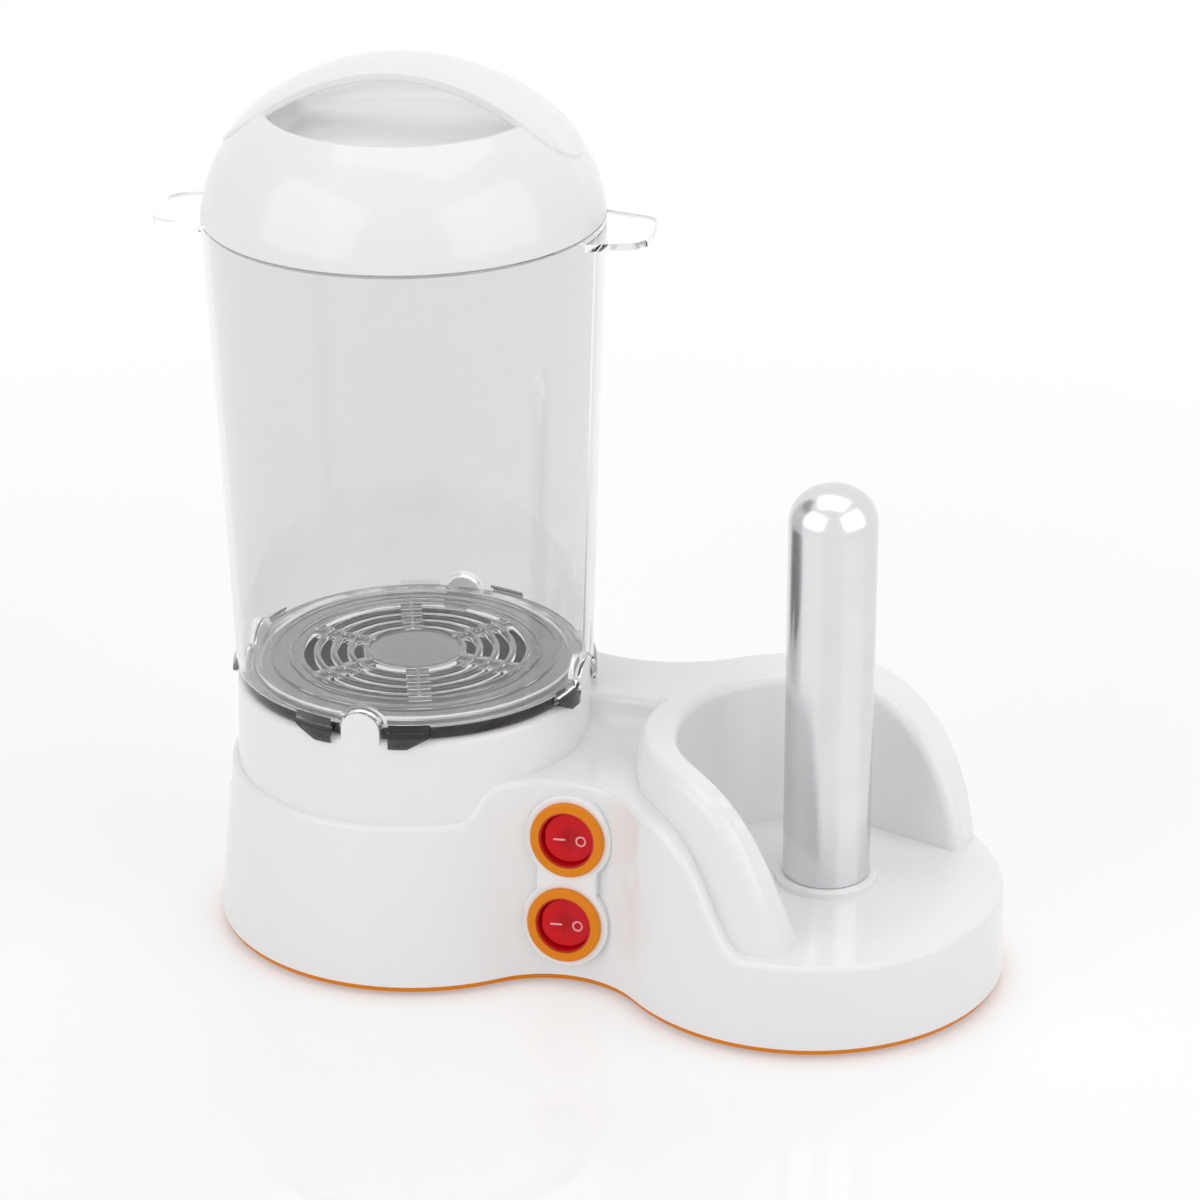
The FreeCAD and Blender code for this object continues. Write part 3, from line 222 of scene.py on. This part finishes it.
# Marks on the rockers
# The bar for on and the ring for off are printed on the two facets of each rocker in white
# ink, thin enough for the red to tint it. Each stroke is a film that follows its facet.
def closed_mesh(name, rings, joined):
    """Mesh through rings of points, shape (rings, points, 3). The last ring meets the first
    one if joined, else both end rings are capped."""
    count, size = rings.shape[:2]
    index = np.arange(count * size).reshape(count, size)
    rows = np.vstack([index, index[:1]]) if joined else index
    turned = np.roll(rows, -1, axis=1)
    quads = np.stack([rows[:-1], rows[1:], turned[1:], turned[:-1]], axis=-1)
    faces = quads.reshape(-1, 4).tolist()
    if not joined:
        faces += [index[0].tolist(), index[-1][::-1].tolist()]
    mesh = bpy.data.meshes.new(name)
    mesh.from_pydata(rings.reshape(-1, 3).tolist(), [], faces)
    mesh.polygons.foreach_set("use_smooth", np.ones(len(faces), dtype=bool))
    piece = bpy.data.objects.new(name, mesh)
    bpy.context.scene.collection.objects.link(piece)
    return piece


# The rockers' shape, in mm and radians: two facets climb from a ridge across the middle, and
# the rocker rests tipped about its pivot. The joint's axis lies in the panel and points down.
ridge_over_pivot = 2.0
facet_angle = np.radians(5.0)
rest_angle = np.radians(7.0)
panel_across = np.array([1.0, 0.0, 0.0])
panel_up = -np.array(joints["upper_rocker_turn"]["axis"])
panel_out = np.cross(panel_across, panel_up)


def on_facet(pivot, x, y, rise):
    """World points x across and y up a rocker, rise above its facets, in mm. The height over
    the pivot is z = ridge + |x| tan(facet) + rise, and (x, z) is turned by the rest angle."""
    z = ridge_over_pivot + np.abs(x) * np.tan(facet_angle) + rise
    across = x * np.cos(rest_angle) + z * np.sin(rest_angle)
    out = z * np.cos(rest_angle) - x * np.sin(rest_angle)
    points = across[..., None] * panel_across + y[..., None] * panel_up + out[..., None] * panel_out
    return pivot + points / 1000


# Pad-print ink: white over red, almost matte.
print_ink = nonmetal("white_pad_print_ink", "#F2B4BA", "#F6BEC4", roughness=0.4, patch_mm=2,
                     grain_mm=0.3, depth_mm=0.001)
# Places and sizes in mm. A stroke is given by half its width, the film by half its thickness,
# and the film's middle stands film_rise above the facet.
mark_y = -0.9
ring_x = 3.95
ring_radius = 1.64
ring_stroke = 0.3
bar_x = -3.8
bar_reach = 2.2
bar_stroke = 0.34
film_rise = 0.03
film_half = 0.05
around = np.linspace(0, 2 * np.pi, 12, endpoint=False)[None, :]
sweep = np.linspace(0, 2 * np.pi, 64, endpoint=False)[:, None]
along = np.linspace(-1, 1, 33)[:, None]
# The bar keeps its width and closes at its ends: width = stroke sqrt(1 - 0.999 |along|^12).
taper = np.sqrt(1 - 0.999 * np.abs(along) ** 12)
ring_line = ring_radius + ring_stroke * np.cos(around)
for name, pivot in pivots.items():
    ring = closed_mesh(name + "_off_ring", on_facet(pivot, ring_x + ring_line * np.cos(sweep),
                                                    mark_y + ring_line * np.sin(sweep),
                                                    film_rise + film_half * np.sin(around)), joined=True)
    bar = closed_mesh(name + "_on_bar", on_facet(pivot, bar_x + bar_reach * along,
                                                 mark_y + bar_stroke * taper * np.cos(around),
                                                 film_rise + film_half * taper * np.sin(around)),
                      joined=False)
    for mark in (ring, bar):
        mark.data.materials.append(print_ink)
        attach(mark, name + "_rocker_body")


# Bun spike
# A drawn aluminium tube with a spun tip goes through the deck, held by a steel plate from
# below, and a white collar trims its foot. A mica sleeve heater sits inside it.
# Aluminium, drawn as a tube: bright satin with a grain that runs along it.
drawn_aluminium = metal("drawn_aluminium_tube", "#D6D8DA", "#E2E3E5", roughness=0.22,
                        grain_mm=0.6, depth_mm=0.003, stretch=30.0)
finish_solid(["spike_tube"], drawn_aluminium)
finish_solid(["spike_collar"], white_abs)
# Mica board, pressed: brown and dull with a scaly grain.
mica_board = nonmetal("pressed_mica", "#8A7048", "#A08558", roughness=0.6, patch_mm=5,
                      grain_mm=0.8, depth_mm=0.02)
finish_solid(["spike_heater"], mica_board)
finish_solid(["spike_thermostat"], black_phenolic)
finish_solid(["spike_clamp", "spike_clamp_screws"], zinc_steel)


# Cord inlet
# A silicone bushing lines the inlet in the rear waist. Inside, a phenolic clamp is screwed
# down behind it, and a nylon block takes the leads under its own screws.
finish_solid(["cord_bushing"], grey_silicone)
finish_solid(["cord_clamp"], black_phenolic)
# Nylon, moulded without filler: milky off-white with a low sheen.
natural_nylon = nonmetal("natural_nylon", "#DEDCD2", "#E6E4DA", roughness=0.42, patch_mm=12,
                         grain_mm=0.8, depth_mm=0.01)
finish_solid(["terminal_block"], natural_nylon)
finish_solid(["cord_clamp_screws", "terminal_screws"], zinc_steel)


# Base plate and feet
# The bottom cover is an orange ABS moulding that shows as a thin line under the housing. Six
# plated screws hold it, and four soft orange feet are pushed into it from below.
finish_solid(["base_plate"], orange_abs)
finish_solid(["base_screws"], zinc_steel)
# Thermoplastic rubber, moulded matte: the gloss is broken up by a fine grain.
foot_rubber = nonmetal("orange_rubber_moulded", "#D08A18", "#DA9220", roughness=0.6, patch_mm=8,
                       grain_mm=0.6, depth_mm=0.02, IOR=1.5)
finish_solid(["feet"], foot_rubber)


# Chamber and rack
# Both are clear SAN mouldings. The chamber drops over the drum's lugs, and the rack lies
# loose on a ledge inside the chamber's foot.
def clear_plastic(name, tint, roughness, mirror, grain_mm, depth_mm, painted_dark_tint=None, painted_dark_top=0.0):
    """Clear moulding: full transmission with a faint wave, and mirror for the strength of its
    gloss. Up to a given height the tint is a darker one, painted shade and painted reflection,
    and it fades to tint in 2 mm more. A ray that has bounced more than five times goes
    straight on, so a wall can't trap it."""
    material = bpy.data.materials.new(name)
    material.use_nodes = True
    tree = material.node_tree
    shader = tree.nodes["Principled BSDF"]
    shader.inputs["Base Color"].default_value = linear(tint)
    shader.inputs["Roughness"].default_value = roughness
    # SAN is usually given as 1.57. The lower value keeps the reflections in the wall fainter.
    shader.inputs["IOR"].default_value = 1.49
    shader.inputs["Specular IOR Level"].default_value = mirror
    shader.inputs["Transmission Weight"].default_value = 1.0
    place = add(tree, "ShaderNodeTexCoord")
    # Painted dark foot: shade and the dark plate's reflection, painted into the tint below a height.
    if painted_dark_tint:
        height = add(tree, "ShaderNodeSeparateXYZ", {"Vector": (place, "Object")})
        painted_dark_mask = add(tree, "ShaderNodeMapRange", {"Value": (height, "Z")}, From_Min=painted_dark_top,
                   From_Max=painted_dark_top + 0.002, To_Min=1.0, To_Max=0.0)
        shade = add(tree, "ShaderNodeMix", {"Factor": (painted_dark_mask, 0)}, data_type="RGBA")
        shade.inputs[6].default_value = linear(tint)
        shade.inputs[7].default_value = linear(painted_dark_tint)
        tree.links.new(shade.outputs[2], shader.inputs["Base Color"])
    grain = add(tree, "ShaderNodeTexNoise", {"Vector": (place, "Object")},
                Scale=1000 / grain_mm, Detail=2.0)
    bump = add(tree, "ShaderNodeBump", {"Height": (grain, "Fac")},
               Strength=1.0, Distance=depth_mm / 1000)
    tree.links.new(bump.outputs[0], shader.inputs["Normal"])
    path = add(tree, "ShaderNodeLightPath")
    deep = add(tree, "ShaderNodeMath", {0: (path, "Ray Depth")}, operation="GREATER_THAN")
    deep.inputs[1].default_value = 5.0
    through = add(tree, "ShaderNodeBsdfTransparent")
    mixed = add(tree, "ShaderNodeMixShader", {0: (deep, 0), 1: (shader, 0), 2: (through, 0)})
    tree.links.new(mixed.outputs[0], tree.nodes["Material Output"].inputs["Surface"])
    return material


# Clear SAN, polished. The band and claws at its foot, up to 5.7 mm above the chamber's lowest
# point, are painted dark grey, a painted shade and painted reflection of the dark plate under them, so
# they show almost black.
painted_dark_height = 0.0057
clear_san = clear_plastic("clear_san_moulded", "#ECECEC", roughness=0.02, mirror=0.3, grain_mm=25,
                          depth_mm=0.01, painted_dark_tint="#6A6C6E",
                          painted_dark_top=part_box("chamber")[0].z + painted_dark_height)
finish_solid(["chamber"], clear_san)
# The same SAN without the painted dark foot, and less glossy from the steam and washing.
rack_san = clear_plastic("clear_san_rack", "#E4E4E4", roughness=0.04, mirror=0.1, grain_mm=12,
                         depth_mm=0.01)
finish_solid(["sausage_rack"], rack_san)


# Lid
# The lid and the strap across its dish are white polypropylene mouldings. The lid's plug
# sits in the chamber's mouth.
# Polypropylene, moulded glossy: a touch softer than the ABS of the housing.
white_pp = nonmetal("white_polypropylene_moulded", "#EFEFEF", "#F1F1F1", roughness=0.12,
                    patch_mm=50, grain_mm=22, depth_mm=0.008)
finish_solid(["lid", "lid_handle"], white_pp)


# Table
# A white glossy table top that runs out of sight, with a faint mirror image in it.
def grid_mesh(name, points):
    """Mesh of quads over a grid of points, shape (rows, columns, 3)."""
    rows, columns = points.shape[:2]
    index = np.arange(rows * columns).reshape(rows, columns)
    quads = np.stack([index[:-1, :-1], index[:-1, 1:], index[1:, 1:], index[1:, :-1]], axis=-1)
    mesh = bpy.data.meshes.new(name)
    mesh.from_pydata(points.reshape(-1, 3).tolist(), [], quads.reshape(-1, 4).tolist())
    piece = bpy.data.objects.new(name, mesh)
    bpy.context.scene.collection.objects.link(piece)
    return piece


# Lengths in metres: half the table's side, and where its white by itself begins and is full.
table_half = 6.0
fade_start = 0.32
fade_end = 0.75
edge = np.linspace(-table_half, table_half, 3)
table_x, table_y = np.meshgrid(edge, edge)
floor = grid_mesh("floor", np.stack([table_x, table_y, np.zeros_like(table_x)], axis=-1))
# White lacquered table top. What lights the object is a plain white surface. What the camera
# and reflections see is a greyer one with a gloss coat and a little light of its own, so the
# open floor is white and only the object's shadow and mirror image show. Far off it is white.
table_top = bpy.data.materials.new("white_lacquered_table")
table_top.use_nodes = True
tree = table_top.node_tree
seen = tree.nodes["Principled BSDF"]
seen.inputs["Base Color"].default_value = linear("#D3D3D3")
seen.inputs["Roughness"].default_value = 0.9
seen.inputs["Coat Weight"].default_value = 0.5
seen.inputs["Coat Roughness"].default_value = 0.03
seen.inputs["Emission Color"].default_value = (1, 1, 1, 1)
seen.inputs["Emission Strength"].default_value = 0.35
path = add(tree, "ShaderNodeLightPath")
bounce = add(tree, "ShaderNodeBsdfDiffuse", Color=linear("#F2F2F2"))
far_white = add(tree, "ShaderNodeEmission")
place = add(tree, "ShaderNodeTexCoord")
reach = add(tree, "ShaderNodeVectorMath", {0: (place, "Object")}, operation="LENGTH")
fade = add(tree, "ShaderNodeMapRange", {"Value": (reach, "Value")}, interpolation_type="SMOOTHSTEP",
           From_Min=fade_start, From_Max=fade_end)
top = add(tree, "ShaderNodeMixShader", {0: (fade, 0), 1: (seen, 0), 2: (far_white, 0)})
lit = add(tree, "ShaderNodeMixShader", {0: (path, "Is Diffuse Ray"), 1: (top, 0), 2: (bounce, 0)})
tree.links.new(lit.outputs[0], tree.nodes["Material Output"].inputs["Surface"])
floor.data.materials.append(table_top)


# Room and lamps
# The room is white to the eye and in reflections, and gives a softer light than it shows.
# Four large softboxes light the object from above, behind, the left and the right.
world = bpy.data.worlds.new("studio")
bpy.context.scene.world = world
world.use_nodes = True
tree = world.node_tree
path = add(tree, "ShaderNodeLightPath")
level = add(tree, "ShaderNodeMapRange", {"Value": (path, "Is Diffuse Ray")}, To_Min=1.0, To_Max=0.42)
tree.links.new(level.outputs[0], tree.nodes["Background"].inputs["Strength"])
tree.nodes["Background"].inputs["Color"].default_value = (1, 1, 1, 1)


def softbox(name, place, target, width, height, power, mirrored=True):
    """Rectangular area light that faces its target, in metres and watts. One that isn't
    mirrored lights the object but leaves no picture of itself in the glossy table."""
    lamp = bpy.data.lights.new(name, "AREA")
    lamp.shape = "RECTANGLE"
    lamp.size = width
    lamp.size_y = height
    lamp.energy = power
    holder = bpy.data.objects.new(name, lamp)
    bpy.context.scene.collection.objects.link(holder)
    holder.visible_glossy = mirrored
    aim = Vector(target) - Vector(place)
    holder.matrix_world = Matrix.Translation(place) @ aim.to_track_quat("-Z", "Y").to_matrix().to_4x4()


softbox("softbox_top", (0.0, 0.1, 1.7), (0, 0, 0.1), width=1.6, height=1.2, power=7)
softbox("softbox_rear", (-0.2, 1.45, 1.15), (-0.05, 0, 0.25), width=1.6, height=1.0, power=7,
        mirrored=False)
softbox("softbox_left", (-0.93, -1.23, 0.87), (0, 0, 0.15), width=1.8, height=1.4, power=9)
softbox("softbox_right", (1.49, -0.4, 0.87), (0, 0, 0.15), width=1.8, height=1.4, power=9)


# Camera
# It stands where the photograph was taken from: 18.69 degrees to the right of the front,
# 23.59 degrees above the level, turned by a quarter of a degree about its own axis.
camera_place = Vector((0.39916, -1.1662, 0.6691))
yaw, pitch, roll = np.radians([18.69, 23.59, -0.25])
back = np.array([np.sin(yaw) * np.cos(pitch), -np.cos(yaw) * np.cos(pitch), np.sin(pitch)])
right = np.array([np.cos(yaw), np.sin(yaw), 0.0])
up = np.cross(back, right)
turned_right = np.cos(roll) * right + np.sin(roll) * up
turned_up = -np.sin(roll) * right + np.cos(roll) * up
turn = Matrix(np.stack([turned_right, turned_up, back], axis=1).tolist())
camera_data = bpy.data.cameras.new("camera")
camera_data.sensor_width = 36.0
camera_data.lens = 114.0
camera = bpy.data.objects.new("camera", camera_data)
bpy.context.scene.collection.objects.link(camera)
camera.matrix_world = Matrix.Translation(camera_place) @ turn.to_4x4()
bpy.context.scene.camera = camera
bpy.context.scene.view_settings.view_transform = "Standard"
